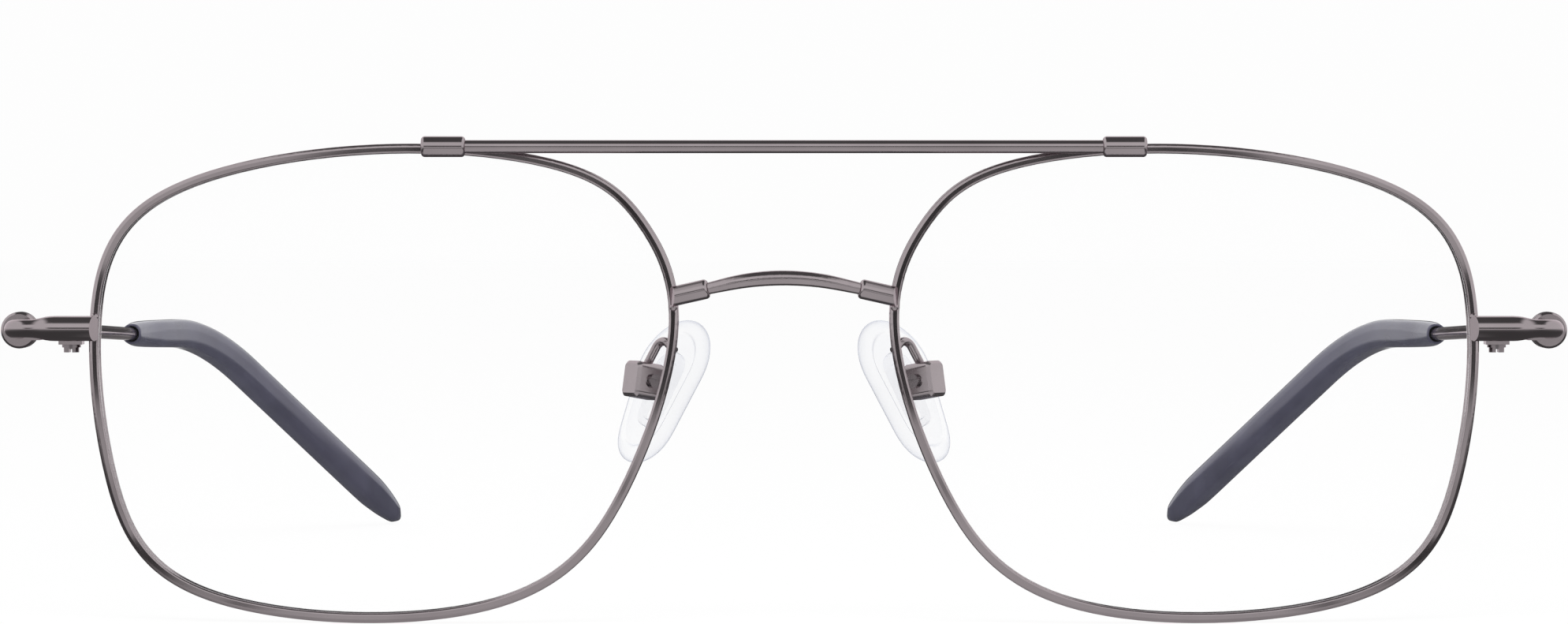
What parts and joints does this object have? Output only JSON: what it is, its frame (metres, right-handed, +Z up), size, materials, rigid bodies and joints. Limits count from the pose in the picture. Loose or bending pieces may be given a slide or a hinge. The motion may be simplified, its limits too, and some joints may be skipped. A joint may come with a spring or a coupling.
{
  "type": "double bridge glasses",
  "caption": "Thin wire spectacles with a straight brow bar over an arched nose bridge, clear nose pads and folding temples with dark tips.",
  "frame": {"origin": "on the table under the glasses, in the middle of their width and of their depth with the temples open", "axes": "+X to the wearer's left, +Y from the lenses back to the temple tips, +Z up"},
  "size_m": [0.1456, 0.1468, 0.0443],
  "materials": {
    "gunmetal": "polished gunmetal",
    "screws": "polished gunmetal",
    "lens": "clear",
    "tips": "gloss dark blue-grey",
    "nose_pads": "clear silicone",
    "pad_cores": "clear"
  },
  "bodies": {
    "front": {"brow_bar": "gunmetal", "bridge": "gunmetal", "rim_left": "gunmetal", "lens_left": "lens", "bar_sleeve_left": "gunmetal", "bridge_sleeve_left": "gunmetal", "endpiece_left": "gunmetal", "rim_lock_upper_left": "gunmetal", "rim_lock_lower_left": "gunmetal", "rim_screw_left": "screws", "endpiece_flange_left": "gunmetal", "hinge_front_left": "gunmetal", "hinge_screw_left": "screws", "pad_box_left": "gunmetal", "pad_screw_left": "screws", "pad_arm_left": "gunmetal", "rim_right": "gunmetal", "lens_right": "lens", "bar_sleeve_right": "gunmetal", "bridge_sleeve_right": "gunmetal", "endpiece_right": "gunmetal", "rim_lock_upper_right": "gunmetal", "rim_lock_lower_right": "gunmetal", "rim_screw_right": "screws", "endpiece_flange_right": "gunmetal", "hinge_front_right": "gunmetal", "hinge_screw_right": "screws", "pad_box_right": "gunmetal", "pad_screw_right": "screws", "pad_arm_right": "gunmetal"},
    "temple_left": {"temple_butt_left": "gunmetal", "hinge_temple_left": "gunmetal", "temple_wire_left": "gunmetal", "temple_tip_left": "tips"},
    "pad_left": {"pad_core_left": "pad_cores", "nose_pad_left": "nose_pads"},
    "temple_right": {"temple_butt_right": "gunmetal", "hinge_temple_right": "gunmetal", "temple_wire_right": "gunmetal", "temple_tip_right": "tips"},
    "pad_right": {"pad_core_right": "pad_cores", "nose_pad_right": "nose_pads"}
  },
  "joints": [
    {"name": "temple_left_fold", "type": "hinge", "parent": "front", "child": "temple_left", "pos_m": [0.06875, -0.05966, 0.02644], "axis": [0, 0, 1], "range_deg": [0, 82]},
    {"name": "pad_left_rock", "type": "hinge", "parent": "front", "child": "pad_left", "pos_m": [0.01274, -0.06716, 0.02199], "axis": [0.6691, 0.7431, 0], "range_deg": [-8, 8]},
    {"name": "temple_right_fold", "type": "hinge", "parent": "front", "child": "temple_right", "pos_m": [-0.06875, -0.05966, 0.02644], "axis": [0, 0, -1], "range_deg": [0, 74]},
    {"name": "pad_right_rock", "type": "hinge", "parent": "front", "child": "pad_right", "pos_m": [-0.01274, -0.06716, 0.02199], "axis": [-0.6691, 0.7431, 0], "range_deg": [-8, 8]}
  ]
}
